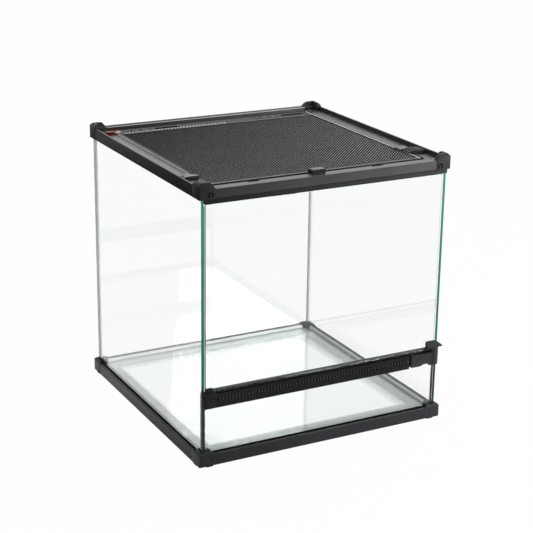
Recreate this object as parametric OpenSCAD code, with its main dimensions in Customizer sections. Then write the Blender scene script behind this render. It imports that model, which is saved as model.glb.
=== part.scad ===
// Front-opening glass terrarium with a lift-up screen lid.
// Origin: centre of the footprint on the plane the feet stand on. +Z up, -Y is the door side.

/* [Frame] */
// Outer width and depth of the top frame
top_w = 305; // [270:1:340]
// How far the base frame stands out past the top frame on each side
base_over = 1.5; // [1:0.1:2]
// Side of the square corner fittings of the base
base_corner_w = 20; // [18:0.5:24]
// Side of the square corner caps of the top
top_corner_w = 18.5; // [17:0.5:22]
// Height of the little foot pads under the base
foot_h = 1; // [0.6:0.1:2]
// Top of the base rails
base_top = 14.7; // [13:0.1:18]
// Underside of the top frame
top_bottom = 298.6; // [240:0.1:420]

/* [Glass] */
// How far the glass box stays inside the top frame on each side
glass_under = 3; // [2.8:0.1:3.2]
// Thickness of every pane
glass_t = 3; // [2.5:0.1:3]
// Clearance of a pane in its groove
seat_gap = 0.3; // [0.2:0.05:0.4]
// Top edge of the fixed low front pane
low_glass_top = 72.5; // [68:0.5:80]

/* [Door and latch] */
// Lower face of the vent strip
strip_z = 67; // [60:0.5:90]
// Pitch of the vent slots
slot_pitch = 3.87; // [3.4:0.01:4]
// Width of a vent slot
slot_w = 1.7; // [1:0.1:2.2]
// Radius of the door pins
pin_r = 1.5; // [1:0.1:1.8]
// Radial clearance of every running pin
pin_fit = 0.05; // [0.02:0.01:0.1]

/* [Screen lid] */
// Width of the frame from its outer face to the side bars of the lid
side_margin = 20; // [19:0.5:21]
// Thickness of the lid bars
bar_t = 4.5; // [4:0.1:4.8]
// Thickness of the screen sheet
mesh_t = 0.6; // [0.4:0.1:1]
// Length of the two cable port sliders
slider_len = 36; // [20:1:40]

/* [Hidden] */
$fn = 48;
eps = 0.01;
th = top_w / 2;
bh = th + base_over;
gh = th - glass_under;
gi = gh - glass_t;
seat_in = gi - seat_gap;
seat_out = gh + seat_gap;
// base frame heights
base_z = foot_h;
groove_z = base_z + 4.5;
flange_top = groove_z + 3;
floor_top = flange_top + glass_t;
flange_in = bh - 24;
corner_in = bh - base_corner_w;
lump_r = 9;
lump_top = floor_top + 6.7;
clip_leg = 5;
// top frame heights
cap_in = th - top_corner_w;
roof_z = top_bottom + 4.6;
channel_z = roof_z + 2.5;
side_top = top_bottom + 12.9;
front_top = top_bottom + 10.7;
back_top = top_bottom + 11.9;
cap_top = top_bottom + 16.7;
lug_top = cap_top + 1.1;
lip_z = top_bottom - 4.9;
lip_face = gh + 1.4;
cap_wall = 5.5;
window_x = th - 12.9;
window_r = 3.3;
window_d = 1.9;
clip_len = 13;
clip_x = [-86, 64.5];
shelf_bottom = roof_z - 2.5;
// door and strip
strip_front = bh - 2;
strip_back = gi - 3.3;
ledge_z = strip_z + 17.3;
rim_z = ledge_z + 2.5;
rim_front = gi - 0.4;
recess_x = bh - 42.7;
slot_x0 = -bh + 23.6;
slots = floor((recess_x - 1.3 - slot_w / 2 - slot_x0) / slot_pitch) + 1;
strip_x0 = -bh + 21.2;
hinge_end_x = -bh + 21;
arm_back = gh + 0.6;
door_x0 = -gh + 5.3;
door_x1 = gi - 1;
door_z0 = ledge_z + 0.9;
door_z1 = lip_z - 1;
axis_x = -gh + 8;
axis_y = -gh + glass_t / 2;
arm_px = bh - 39.2;
arm_py = -arm_back - 1.35;
arm_pin_r = 0.9;
barrel_x = bh - 8.5;
barrel_r = 6.2;
// lid
shelf_y = th - 26.5;
shelf_x = th - 28;
lid_half = th - side_margin;
lid_wall = lid_half + 0.5;
lid_z0 = roof_z + 0.2;
lid_top = lid_z0 + bar_t;
lid_front = -th + 13;
lid_back = cap_in;
hinge_r = (lid_top - lid_z0) / 2;
hinge_y = lid_back - hinge_r;
hinge_z = lid_z0 + hinge_r;
lid_pin_r = 1.2;
lid_flange = lid_z0 + 2;
lid_rim_x = lid_half - 2.2;
lid_rim_y = lid_front + 10;
rim_w = 3;
pad_w = 12;
mesh_x = lid_rim_x - 1.3;
mesh_y0 = lid_rim_y + 1.3;
mesh_y1 = lid_back - 20;
grid_n = 12;
grid_bar = 3;
mesh_z = lid_top - 1.6;
port_y0 = lid_back - 14.5;
port_y1 = lid_back - 8;
port_travel = 30;
port_x = [-lid_half + 14.5, lid_half - 80.5];
tooth_pitch = 4.12;
teeth = 32;
lock_x = th - 3.5;
lock_y = lid_front + 36.5;
lock_right_y = lid_front + 32.5;
lock_len = 15;
mark_y0 = lid_back - 12.5;
mark_y1 = lid_back - 6;

black = "#2a2a2c";

// extrude a (y, z) outline from x = a to x = b
module along_x(a, b) {
    translate([a, 0, 0])
        rotate([90, 0, 90])
            linear_extrude(b - a)
                children();
}

// extrude an (x, z) outline from y = a to y = b
module along_y(a, b) {
    translate([0, b, 0])
        rotate([90, 0, 0])
            linear_extrude(b - a)
                children();
}

// box between two corners
module block(lo, hi) {
    translate(lo)
        cube(hi - lo);
}

// ---------- base ----------
module base_corner_outline() {
    polygon([
        [corner_in, base_z],
        [bh, base_z],
        [bh, base_top + 0.3],
        [bh - 1.8, base_top + 2.3],
        [corner_in + 5, base_top + 2.3],
        [corner_in + 1.2, base_top],
        [corner_in, base_top]
    ]);
}

module foot_pad_outline() {
    polygon([
        [bh - 17, base_z + 1],
        [bh - 16, 0],
        [bh - 8.5, 0],
        [bh - 7.2, base_z + 1]
    ]);
}

// corner fitting of the quadrant x > 0, y > 0
module base_corner_shape() {
    difference() {
        intersection() {
            along_y(corner_in, bh) base_corner_outline();
            along_x(corner_in, bh) base_corner_outline();
        }
        block([corner_in - 1, corner_in - 1, groove_z], [seat_out, seat_out, base_top + 9]);
        translate([bh - 13.8, bh + 0.4, base_z + 8.5])
            rotate([90, 0, 0])
                cylinder(h = 1, r = 2.3);
    }
    along_y(bh - 6, bh) foot_pad_outline();
    along_x(bh - 6, bh) foot_pad_outline();
    block([corner_in, corner_in, groove_z - 1], [seat_in, seat_in, flange_top]);
    intersection() {
        union() {
            translate([seat_in, seat_in, floor_top])
                cylinder(h = lump_top - floor_top - 2, r = lump_r);
            translate([seat_in, seat_in, lump_top - 2])
                cylinder(h = 2, r1 = lump_r, r2 = lump_r - 2);
        }
        block([corner_in, corner_in, flange_top], [seat_in, seat_in, lump_top + 1]);
    }
    translate([seat_in, seat_in, flange_top - eps])
        linear_extrude(glass_t + 2 * eps)
            polygon([[0, 0], [-clip_leg + 0.2, 0], [0, -clip_leg + 0.2]]);
}

module base_corner(sx, sy) {
    color(black)
        scale_flip(sx, sy)
            base_corner_shape();
}

// mirror a quadrant shape to the quadrant with the given signs
module scale_flip(sx, sy) {
    mirror([sx < 0 ? 1 : 0, 0, 0])
        mirror([0, sy < 0 ? 1 : 0, 0])
            children();
}

module base_rail_outline() {
    polygon([
        [bh, base_z],
        [bh, base_top - 0.7],
        [bh - 0.7, base_top],
        [seat_out, base_top],
        [seat_out, groove_z],
        [seat_in, groove_z],
        [seat_in, flange_top],
        [flange_in, flange_top],
        [flange_in, flange_top - 2.5],
        [gi - 3, flange_top - 2.5],
        [gi - 3, base_z],
        [gi - 0.5, base_z],
        [gi - 0.5, base_z + 2],
        [bh - 2.5, base_z + 2],
        [bh - 2.5, base_z]
    ]);
}

module base_rail_y(sy) {
    color(black)
        scale_flip(1, sy)
            along_x(-corner_in, corner_in) base_rail_outline();
}

module base_rail_x(sx) {
    color(black)
        scale_flip(sx, 1)
            difference() {
                along_y(-corner_in, corner_in) base_rail_outline();
                for (s = [-1, 1])
                    translate([flange_in - 1, s * (flange_in + 10) - 10, flange_top - 3])
                        cube([corner_in - flange_in + 1, 20, 4]);
            }
}

// ---------- glass ----------
module floor_glass() {
    k = seat_in - clip_leg;
    color("#dfeeea")
        translate([0, 0, flange_top])
            linear_extrude(glass_t)
                polygon([
                    [-seat_in, -k], [-k, -seat_in], [k, -seat_in], [seat_in, -k],
                    [seat_in, k], [k, seat_in], [-k, seat_in], [-seat_in, k]
                ]);
}

module side_glass(sx) {
    color("#dfeeea")
        scale_flip(sx, 1)
            block([gi, -gh, groove_z], [gh, gh, roof_z]);
}

module back_glass() {
    color("#dfeeea")
        block([-seat_in, gi, groove_z], [seat_in, gh, roof_z]);
}

module low_front_glass() {
    color("#dfeeea")
        block([-seat_in, -gh, groove_z], [seat_in, -gi, low_glass_top]);
}

// quarter round of sealant in the corner at (gi, gi), between two heights
module bead(r, z0, z1) {
    translate([0, 0, z0])
        linear_extrude(z1 - z0)
            intersection() {
                translate([gi, gi])
                    circle(r);
                translate([gi - r - 1, gi - r - 1])
                    square(r + 1);
            }
}

module corner_beads() {
    color("#55595a")
        for (sx = [-1, 1]) {
            scale_flip(sx, 1) bead(2.6, lump_top, top_bottom);
            scale_flip(sx, -1) bead(2.2, lump_top, strip_z);
        }
}

module door_seal() {
    color("#9aa19f")
        block([-gi, -gh + 0.2, door_z0 + 4.8], [-gi + 1.6, -gi - 0.2, door_z1 - 1.5]);
}

// ---------- vent strip ----------
module strip_outline(rim) {
    polygon(concat([
        [-strip_front, strip_z],
        [-strip_front, ledge_z - 1],
        [-strip_front + 1, ledge_z]
    ], rim ? [
        [-rim_front, ledge_z],
        [-rim_front, rim_z],
        [-strip_back, rim_z]
    ] : [
        [-strip_back, ledge_z]
    ], [
        [-strip_back, strip_z],
        [-seat_in, strip_z],
        [-seat_in, low_glass_top],
        [-seat_out, low_glass_top],
        [-seat_out, strip_z]
    ]));
}

module vent_strip() {
    color(black)
        difference() {
            union() {
                along_x(strip_x0, seat_in) strip_outline(true);
                translate([arm_px, arm_py, ledge_z - 1.7])
                    cylinder(h = 1.7, r = 2.4);
            }
            for (i = [0 : slots - 1])
                block([slot_x0 + i * slot_pitch - slot_w / 2, -bh, strip_z + 7],
                    [slot_x0 + i * slot_pitch + slot_w / 2, -bh + 20, strip_z + 11.7]);
            block([recess_x, -bh, strip_z - 1], [bh, -seat_out, ledge_z - 1.7]);
            block([bh - 15.2, -bh, strip_z - 1], [bh, -seat_out, rim_z + 1]);
            translate([arm_px, arm_py, ledge_z - 2])
                cylinder(h = 3, r = arm_pin_r + pin_fit);
        }
}

module hinge_end() {
    color(black)
        difference() {
            union() {
                along_x(-seat_in, hinge_end_x) strip_outline(false);
                translate([hinge_end_x - 1.6, -strip_front, strip_z + 11])
                    sphere(r = 0.9);
            }
            translate([axis_x, axis_y, ledge_z - 4.4])
                cylinder(h = 5, r = pin_r + pin_fit);
        }
}

// ---------- door ----------
module door_glass() {
    color("#dfeeea")
        block([door_x0, -gh, door_z0], [door_x1, -gi, door_z1]);
}

// the lower shoe wraps the door corner; the glass leaves its own pocket
module hinge_shoe_bottom() {
    z0 = ledge_z + 0.3;
    z1 = ledge_z + 5;
    color(black) {
        difference() {
            union() {
                block([axis_x, -gh - 0.8, z0], [axis_x + 5.8, -gi + 0.8, z1]);
                translate([axis_x, axis_y, z0])
                    cylinder(h = z1 - z0, r = 2.3);
                block([door_x0 - 0.4, -gh - 0.2, z0], [axis_x, -gi + 0.2, z1]);
            }
            block([door_x0, -gh, door_z0], [door_x1, -gi, door_z1]);
        }
        translate([axis_x, axis_y, z0 - 4])
            cylinder(h = 4 + eps, r = pin_r);
    }
}

// the upper pin stands on a thin plate glued to the top edge of the door
module hinge_shoe_top() {
    color(black) {
        block([door_x0, -gh, door_z1], [axis_x + 4, -gi, lip_z - 0.3]);
        translate([axis_x, axis_y, lip_z - 0.3 - eps])
            cylinder(h = 4, r = pin_r);
    }
}

// corner catch of the door: barrel-like foot and a sloping finger wing
module door_catch() {
    zb = ledge_z + 0.6;
    zw = ledge_z + 4.4;
    wing_x = bh - 20.2;
    color(black) {
        intersection() {
            translate([barrel_x, -bh + barrel_r, zb])
                cylinder(h = zw - zb, r = barrel_r);
            block([bh - 24, -bh - 1, zb], [bh, -gh - 0.4, zw]);
        }
        intersection() {
            along_x(wing_x, bh)
                polygon([
                    [-bh, zw], [-bh, zw + 1.5], [-gh - 1.6, zw + 6.2], [-gh - 1.6, zw + 7.2],
                    [-gh - 0.4, zw + 7.2], [-gh - 0.4, zw]
                ]);
            along_y(-bh - 1, -gh)
                polygon([
                    [wing_x, zw], [wing_x, zw + 8], [bh - 16.1, zw + 8], [bh - 7.2, zw + 6.8],
                    [bh - 4.2, zw + 5], [bh, zw + 1.4], [bh, zw]
                ]);
        }
        block([wing_x, -gh - 0.8, zb], [door_x1 + 0.6, -gh, zw + 6.2]);
        block([door_x1, -gh - 0.8, rim_z + 0.3], [door_x1 + 0.6, -gi + 0.8, zw + 6]);
        block([wing_x + 2, -gi, rim_z + 0.3], [door_x1 + 0.6, -gi + 0.8, zw + 6]);
    }
}

// ---------- latch ----------
module latch_arm() {
    z0 = strip_z + 0.2;
    color(black) {
        intersection() {
            translate([0, 0, strip_z])
                linear_extrude(ledge_z - 2 - strip_z)
                    union() {
                        translate([arm_px, arm_py])
                            circle(1.35);
                        polygon([
                            [arm_px, -arm_back], [arm_px, arm_py - 1.35],
                            [arm_px + 3.2, -bh + 0.8], [bh - 13, -bh + 0.8],
                            [bh - 13, -arm_back]
                        ]);
                    }
            along_y(-bh - 1, -gh)
                polygon([
                    [arm_px - 2.8, z0 + 0.8], [bh - 28, z0 + 0.8], [bh - 23, z0 + 2.8],
                    [bh - 19, z0 + 3], [bh - 16, z0], [bh - 12, z0],
                    [bh - 12, ledge_z], [arm_px - 2.8, ledge_z]
                ]);
        }
        intersection() {
            translate([barrel_x, -bh + barrel_r, z0])
                cylinder(h = ledge_z + 0.3 - z0, r = barrel_r);
            block([bh - 24, -bh - 1, z0], [bh, -arm_back, ledge_z + 1]);
        }
        translate([arm_px, arm_py, ledge_z - 2.1])
            cylinder(h = 1.9, r = arm_pin_r);
    }
}

// ---------- top frame ----------
// outline of a cap wall that starts at the height z0 of the rail beside it
module cap_outline(z0) {
    polygon([
        [cap_in, top_bottom],
        [th, top_bottom],
        [th, cap_top - 2],
        [th - 2.6, lug_top - 0.3],
        [th - cap_wall, lug_top],
        [cap_in + 5, lug_top - 0.6],
        [cap_in, z0]
    ]);
}

// arched snap window of the caps, drawn in (x, z)
module window_outline(rim) {
    r = window_r + rim;
    translate([window_x - r, top_bottom + 1.1 - rim])
        square([2 * r, 3.2 + rim]);
    translate([window_x, top_bottom + 4.3])
        circle(r);
}

// hollow corner cap: two walls, the ledge and the channel run through inside them
module top_corner(sx, sy) {
    ledge_h = sy < 0 ? front_top : back_top;
    ledge_in = sy < 0 ? th - 12 : th - 8.5;
    color(black)
        scale_flip(sx, sy)
            difference() {
                union() {
                    intersection() {
                        along_y(cap_in, th) cap_outline(ledge_h);
                        along_x(cap_in, th) cap_outline(side_top);
                    }
                    along_y(th - 1, th + 0.4) window_outline(0.7);
                }
                block([cap_in - 1, cap_in - 1, ledge_h],
                    [th - cap_wall, th - cap_wall, lug_top + 1]);
                block([cap_in - 1, cap_in - 1, channel_z], [th - cap_wall, ledge_in, lug_top + 1]);
                block([seat_in, cap_in - 1, top_bottom - 1], [seat_out, seat_out, roof_z]);
                if (sy > 0)
                    block([cap_in - 1, seat_in, top_bottom - 1], [seat_out, seat_out, roof_z]);
                along_y(th - window_d, th + 1)
                    difference() {
                        window_outline(0);
                        translate([window_x - 0.7, top_bottom])
                            square([1.4, 5.8]);
                    }
            }
}

module side_rail_outline() {
    polygon([
        [th, top_bottom],
        [th, side_top - 0.5],
        [th - 0.5, side_top],
        [th - 2.4, side_top],
        [th - 2.6, channel_z],
        [lid_wall, channel_z],
        [lid_wall, roof_z],
        [shelf_x, roof_z],
        [shelf_x, shelf_bottom],
        [gi - 3, shelf_bottom],
        [gi - 3, top_bottom],
        [seat_in, top_bottom],
        [seat_in, roof_z],
        [seat_out, roof_z],
        [seat_out, top_bottom]
    ]);
}

module top_rail_side(sx) {
    color(black)
        scale_flip(sx, 1)
            difference() {
                union() {
                    along_y(-cap_in, cap_in) side_rail_outline();
                    block([lid_wall, hinge_y - 1.9, channel_z - 1],
                        [lid_wall + 5, cap_in, lid_top + 0.1]);
                }
                translate([lid_wall - 1, hinge_y, hinge_z])
                    rotate([0, 90, 0])
                        cylinder(h = 4.3, r = lid_pin_r + pin_fit);
                for (s = [-1, 1])
                    translate([shelf_x - 1, s * (shelf_y + 10) - 10, shelf_bottom - 1])
                        cube([cap_in - shelf_x + 1, 20, roof_z - shelf_bottom + 2]);
            }
}

module top_rail_front() {
    color(black) {
        difference() {
            along_x(-cap_in, cap_in)
                polygon([
                    [-th, top_bottom + 1],
                    [-th, front_top - 0.6],
                    [-th + 0.6, front_top],
                    [lid_front - 1, front_top],
                    [lid_front - 1, roof_z],
                    [-shelf_y, roof_z],
                    [-shelf_y, shelf_bottom],
                    [-gi + 1.3, shelf_bottom],
                    [-gi + 1.3, top_bottom - eps],
                    [-lip_face, top_bottom - eps],
                    [-lip_face, top_bottom + 1]
                ]);
            for (x = clip_x)
                block([x - clip_len / 2, lid_front - 4, front_top - 2.6],
                    [x + clip_len / 2, lid_front, front_top + 1]);
        }
        difference() {
            block([-gi + 0.5, -lip_face, lip_z], [gh + 0.5, -gi + 1.3, top_bottom]);
            block([seat_in, -seat_out, lip_z - 1], [bh, -gi + 5, top_bottom + 1]);
            translate([axis_x, axis_y, lip_z - 1])
                cylinder(h = 5.4, r = pin_r + pin_fit);
        }
    }
}

module top_rail_back() {
    color(black)
        along_x(-cap_in, cap_in)
            polygon([
                [th, top_bottom],
                [th, back_top - 0.6],
                [th - 0.6, back_top],
                [th - 8.5, back_top],
                [th - 8.5, channel_z],
                [lid_back + 2, channel_z],
                [lid_back + 2, roof_z],
                [shelf_y, roof_z],
                [shelf_y, shelf_bottom],
                [gi - 3, shelf_bottom],
                [gi - 3, top_bottom],
                [seat_in, top_bottom],
                [seat_in, roof_z],
                [seat_out, roof_z],
                [seat_out, top_bottom]
            ]);
}

// ---------- screen lid ----------
// pocket of one cable port: slider bed and the hole below it; x0 = closed left end
module port_pocket(x0) {
    block([x0 - 0.3, port_y0 - 0.3, lid_top - 1.5],
        [x0 + slider_len + port_travel + 0.3, port_y1 + 0.3, lid_top + 1]);
    block([x0 + 3, port_y0 + 1, lid_z0 - 1],
        [x0 + slider_len - 3, port_y1 - 0.5, lid_top]);
}

// the bars carry the locks on a low flange and the screen under a raised rim
module lid_frame() {
    k = 4;
    wx = lid_rim_x - rim_w;
    wy = lid_rim_y + rim_w;
    color(black) {
        difference() {
            union() {
                block([-lid_half, lid_front, lid_z0], [lid_half, hinge_y, lid_flange]);
                block([-lid_rim_x, lid_rim_y, lid_z0], [lid_rim_x, hinge_y, lid_top]);
                for (s = [-1, 1])
                    translate([s * (lid_half - pad_w / 2) - pad_w / 2, lid_rim_y, lid_z0])
                        cube([pad_w, 9, bar_t]);
                translate([-lid_half, hinge_y, hinge_z])
                    rotate([0, 90, 0])
                        cylinder(h = 2 * lid_half, r = hinge_r);
            }
            // opening with two cut corners, and the rebate of the screen below it
            translate([0, 0, lid_z0 - 1])
                linear_extrude(bar_t + 2)
                    polygon([
                        [-wx + k, wy], [wx - k, wy], [wx, wy + k], [wx, mesh_y1 - 2],
                        [-wx, mesh_y1 - 2], [-wx, wy + k]
                    ]);
            block([-mesh_x, mesh_y0, lid_z0 - 1], [mesh_x, mesh_y1, mesh_z + mesh_t]);
            for (x0 = port_x)
                port_pocket(x0);
            // bearing faces of the locks
            block([-lid_half - 1, lock_y - 1, lid_top - 1],
                [-lid_half + 4.5, lock_y + 23, lid_top + 1]);
            block([lid_half - 4.5, lock_right_y - 1, lid_top - 1],
                [lid_half + 1, lock_right_y + 28, lid_top + 1]);
        }
        // comb of small teeth over the wiring inlet
        for (i = [0 : teeth - 1])
            translate([-lid_half + 10.5 + i * tooth_pitch, mesh_y1 + 0.6, lid_top - eps])
                cube([2, 2.2, 0.5]);
        for (s = [-1, 1])
            translate([s * (lid_half + 1.7) - 1.75, hinge_y, hinge_z])
                rotate([0, 90, 0])
                    cylinder(h = 3.5, r = lid_pin_r);
    }
}

// plain grid that stands for the fine woven screen
module lid_mesh() {
    px = (2 * mesh_x - 0.2 - grid_bar) / grid_n;
    py = (mesh_y1 - mesh_y0 - 0.2 - grid_bar) / grid_n;
    color("#4a4a4c")
        difference() {
            block([-mesh_x + 0.1, mesh_y0 + 0.1, mesh_z],
                [mesh_x - 0.1, mesh_y1 - 0.1, mesh_z + mesh_t]);
            for (i = [0 : grid_n - 1])
                for (j = [0 : grid_n - 1])
                    translate([-mesh_x + 0.1 + grid_bar + i * px, mesh_y0 + 0.1 + grid_bar + j * py,
                        mesh_z - 1])
                        cube([px - grid_bar, py - grid_bar, mesh_t + 2]);
        }
}

// sliding block with a leaf-shaped finger plate that narrows towards the screen
module lid_lock_left() {
    zt = lid_top + 1.2;
    color("#8d8d8f") {
        along_y(lock_y + 1.5, lock_y + 12.5)
            polygon([
                [-lock_x + 3, channel_z + 0.4], [-lock_x + 3, zt],
                [-lid_half + 4, zt], [-lid_half + 4, lid_top - 1],
                [-lid_half - 1.5, lid_top - 1], [-lid_half - 1.5, channel_z + 0.4]
            ]);
        intersection() {
            translate([0, 0, zt - eps])
                linear_extrude(3)
                    polygon([
                        [-lock_x + 1.2, lock_y], [-lock_x + 9.5, lock_y + 15],
                        [-lid_half - 2, lock_y + 11], [-lid_half + 5, lock_y + 3.4]
                    ]);
            along_y(lock_y - 1, lock_y + 16)
                polygon([
                    [-lock_x, zt - 1], [-lock_x, zt + 1], [-lock_x + 9, zt + 1.6],
                    [-lid_half + 6, zt + 0.9], [-lid_half + 6, zt - 1]
                ]);
        }
    }
}

// ribbed sliding block with a smooth finger plate behind it
module lid_lock_right() {
    zt = lid_top + 0.6;
    color("#4c4d4f") {
        difference() {
            along_y(lock_right_y, lock_right_y + lock_len)
                polygon([
                    [lock_x, channel_z + 0.4], [lock_x, side_top - 0.8],
                    [lid_half + 6.5, side_top - 0.2], [lid_half + 1, zt + 2.4],
                    [lid_half - 4, zt + 0.6], [lid_half - 4, lid_top - 1],
                    [lid_half + 1.5, lid_top - 1], [lid_half + 1.5, channel_z + 0.4]
                ]);
            for (i = [0 : 4])
                translate([lid_half - 2.5, lock_right_y + 1.6 + i * 2.8, zt + 0.9])
                    cube([30, 1.4, 5]);
        }
        block([lid_half - 6, lock_right_y + lock_len - eps, lid_top],
            [lid_half + 6.5, lock_right_y + lock_len + 13, lid_top + 1.9]);
    }
}

module lid_catch() {
    zf = front_top + 0.3;
    color("#3a3a3c")
        difference() {
            along_x(-18.6, -3.2)
                polygon([
                    [-th + 4.5, zf], [-th + 4.5, zf + 4.4], [-th + 5.5, zf + 5.2],
                    [lid_front + 1.5, zf + 5.2], [lid_front + 3.6, zf + 3.4],
                    [lid_front + 3.6, lid_flange], [lid_front + 0.3, lid_flange],
                    [lid_front + 0.3, zf]
                ]);
            for (i = [0 : 5])
                translate([-17.3 + i * 2.3, -th + 3.5, zf + 0.8])
                    cube([1, 1.7, 3.6]);
        }
}

module port_slider(x0) {
    z0 = lid_top - 1.3;
    color("#5a5a5c")
        difference() {
            block([x0, port_y0, z0], [x0 + slider_len, port_y1, lid_top + 0.3]);
            for (i = [0 : 2])
                translate([x0 + 6 + 12 * i, (port_y0 + port_y1) / 2, lid_top - 0.6])
                    cylinder(h = 2, r = 2);
        }
}

// the two halves of the red mark meet over the seam between frame and lid
module lid_mark() {
    color("#b8463a")
        block([-lid_half + 0.2, mark_y0, lid_top], [-lid_half + 7, mark_y1, lid_top + 1.4]);
}

module frame_mark() {
    color("#b8463a")
        block([-lid_half - 10, mark_y0, channel_z], [-lid_wall - 0.2, mark_y1, lid_top + 1.4]);
}

base_corner(-1, -1);  // base_corner_fl
base_corner(1, -1);  // base_corner_fr
base_corner(-1, 1);  // base_corner_bl
base_corner(1, 1);  // base_corner_br
base_rail_y(-1);  // base_rail_front
base_rail_y(1);  // base_rail_back
base_rail_x(-1);  // base_rail_left
base_rail_x(1);  // base_rail_right
floor_glass();
side_glass(-1);  // left_glass
side_glass(1);  // right_glass
back_glass();
low_front_glass();
corner_beads();
door_seal();
vent_strip();
hinge_end();
door_glass();
hinge_shoe_bottom();
hinge_shoe_top();
door_catch();
latch_arm();
top_corner(-1, -1);  // top_corner_fl
top_corner(1, -1);  // top_corner_fr
top_corner(-1, 1);  // top_corner_bl
top_corner(1, 1);  // top_corner_br
top_rail_front();
top_rail_back();
top_rail_side(-1);  // top_rail_left
top_rail_side(1);  // top_rail_right
lid_frame();
lid_mesh();
lid_lock_left();
lid_lock_right();
lid_catch();
port_slider(port_x[0]);  // port_slider_left
port_slider(port_x[1]);  // port_slider_right
lid_mark();
frame_mark();
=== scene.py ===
import math

import bmesh
import bpy
import numpy as np
from mathutils import Matrix, Vector


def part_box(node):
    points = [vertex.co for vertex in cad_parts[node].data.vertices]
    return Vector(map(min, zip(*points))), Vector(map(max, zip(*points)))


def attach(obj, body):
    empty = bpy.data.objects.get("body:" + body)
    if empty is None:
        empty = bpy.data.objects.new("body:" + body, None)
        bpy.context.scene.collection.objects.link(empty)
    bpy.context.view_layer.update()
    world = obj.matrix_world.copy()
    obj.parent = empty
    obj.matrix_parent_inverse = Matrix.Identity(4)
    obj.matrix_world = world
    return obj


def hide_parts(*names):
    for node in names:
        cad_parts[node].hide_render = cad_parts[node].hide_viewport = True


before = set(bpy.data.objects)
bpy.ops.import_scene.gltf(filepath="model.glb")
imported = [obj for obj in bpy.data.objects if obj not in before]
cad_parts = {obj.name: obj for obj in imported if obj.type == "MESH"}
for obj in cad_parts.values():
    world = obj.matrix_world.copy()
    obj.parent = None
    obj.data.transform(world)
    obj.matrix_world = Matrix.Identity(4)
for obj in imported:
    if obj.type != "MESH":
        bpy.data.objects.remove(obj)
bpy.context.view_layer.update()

# ---------------------------------------------------------------------------------------------
# The sweep the tank stands on: a white sheet of paper, seen by eye, gloss and glass alike as
# plain white, which still takes the soft shadow of the base. Level light from all round, with
# a large soft lamp at the right front.
scene = bpy.context.scene
scene.view_settings.view_transform = "Standard"

top_width = 0.305
turn, rise, tilt = (math.radians(a) for a in (-27.984, 18.629, 0.779))
back = Vector((math.sin(turn) * math.cos(rise), -math.cos(turn) * math.cos(rise), math.sin(rise)))
level_right = Vector((0, 0, 1)).cross(back).normalized()
level_up = back.cross(level_right)
right = math.cos(tilt) * level_right + math.sin(tilt) * level_up
up = math.cos(tilt) * level_up - math.sin(tilt) * level_right
# how far the eye stands aside, above and away, in widths of the top frame
aside, above, away = 0.02391, 0.49554, 5.71117
eye = (aside * right + above * up + away * back) * top_width + Vector((0, 0, 0.001))
camera = bpy.data.objects.new("camera", bpy.data.cameras.new("camera"))
camera.matrix_world = Matrix.Translation(eye) @ Matrix((right, up, back)).transposed().to_4x4()
camera.data.sensor_width = 36.0
camera.data.lens = 97.191
camera.data.clip_start = 0.05
camera.data.clip_end = 50.0
scene.collection.objects.link(camera)
scene.camera = camera


def add_node(tree, kind, values=None, feeds=None, **choices):
    """Adds a shader node to the tree. The choices are its own settings, the values go on its
    sockets, and each feed is linked into the socket that it names."""
    node = tree.nodes.new("ShaderNode" + kind)
    for name, choice in choices.items():
        setattr(node, name, choice)
    for socket, value in (values or {}).items():
        node.inputs[socket].default_value = value
    for socket, source in (feeds or {}).items():
        tree.links.new(source, node.inputs[socket])
    return node


def larger(tree, one, other):
    """max(one, other)."""
    return add_node(tree, "Math", feeds={0: one, 1: other}, operation="MAXIMUM").outputs[0]


def seen_directly(tree):
    """1 for eye, gloss and glass rays, 0 for light that falls on a surface: max of the three
    flags of Light Path."""
    path = add_node(tree, "LightPath").outputs
    first = larger(tree, path["Is Camera Ray"], path["Is Glossy Ray"])
    return larger(tree, first, path["Is Transmission Ray"])


world = bpy.data.worlds.new("white_studio")
world.use_nodes = True
scene.world = world
tree = world.node_tree
tree.nodes.clear()
white = (1.0, 1.0, 1.0, 1.0)
soft = add_node(tree, "Background", {"Color": white, "Strength": 0.42})
plain = add_node(tree, "Background", {"Color": white, "Strength": 1.0})
mix = add_node(tree, "MixShader",
               feeds={0: seen_directly(tree), 1: soft.outputs[0], 2: plain.outputs[0]})
add_node(tree, "OutputWorld", feeds={"Surface": mix.outputs[0]})

paper = bpy.data.materials.new("white_paper")
paper.use_nodes = True
tree = paper.node_tree
tree.nodes.clear()
sheet_face = add_node(tree, "BsdfDiffuse", {"Color": (0.86, 0.86, 0.86, 1.0)})
glow = add_node(tree, "Emission", {"Strength": 1.0})
part_glow = add_node(tree, "Math", {1: 0.98}, {0: seen_directly(tree)}, operation="MULTIPLY")
mix = add_node(tree, "MixShader",
               feeds={0: part_glow.outputs[0], 1: sheet_face.outputs[0], 2: glow.outputs[0]})
add_node(tree, "OutputMaterial", feeds={"Surface": mix.outputs[0]})

reach = 6.0
ground = bpy.data.meshes.new("ground")
ground.from_pydata([(-reach, -reach, 0), (reach, -reach, 0), (reach, reach, 0), (-reach, reach, 0)],
                   [], [(0, 1, 2, 3)])
ground.materials.append(paper)
ground_piece = bpy.data.objects.new("ground", ground)
scene.collection.objects.link(ground_piece)

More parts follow.
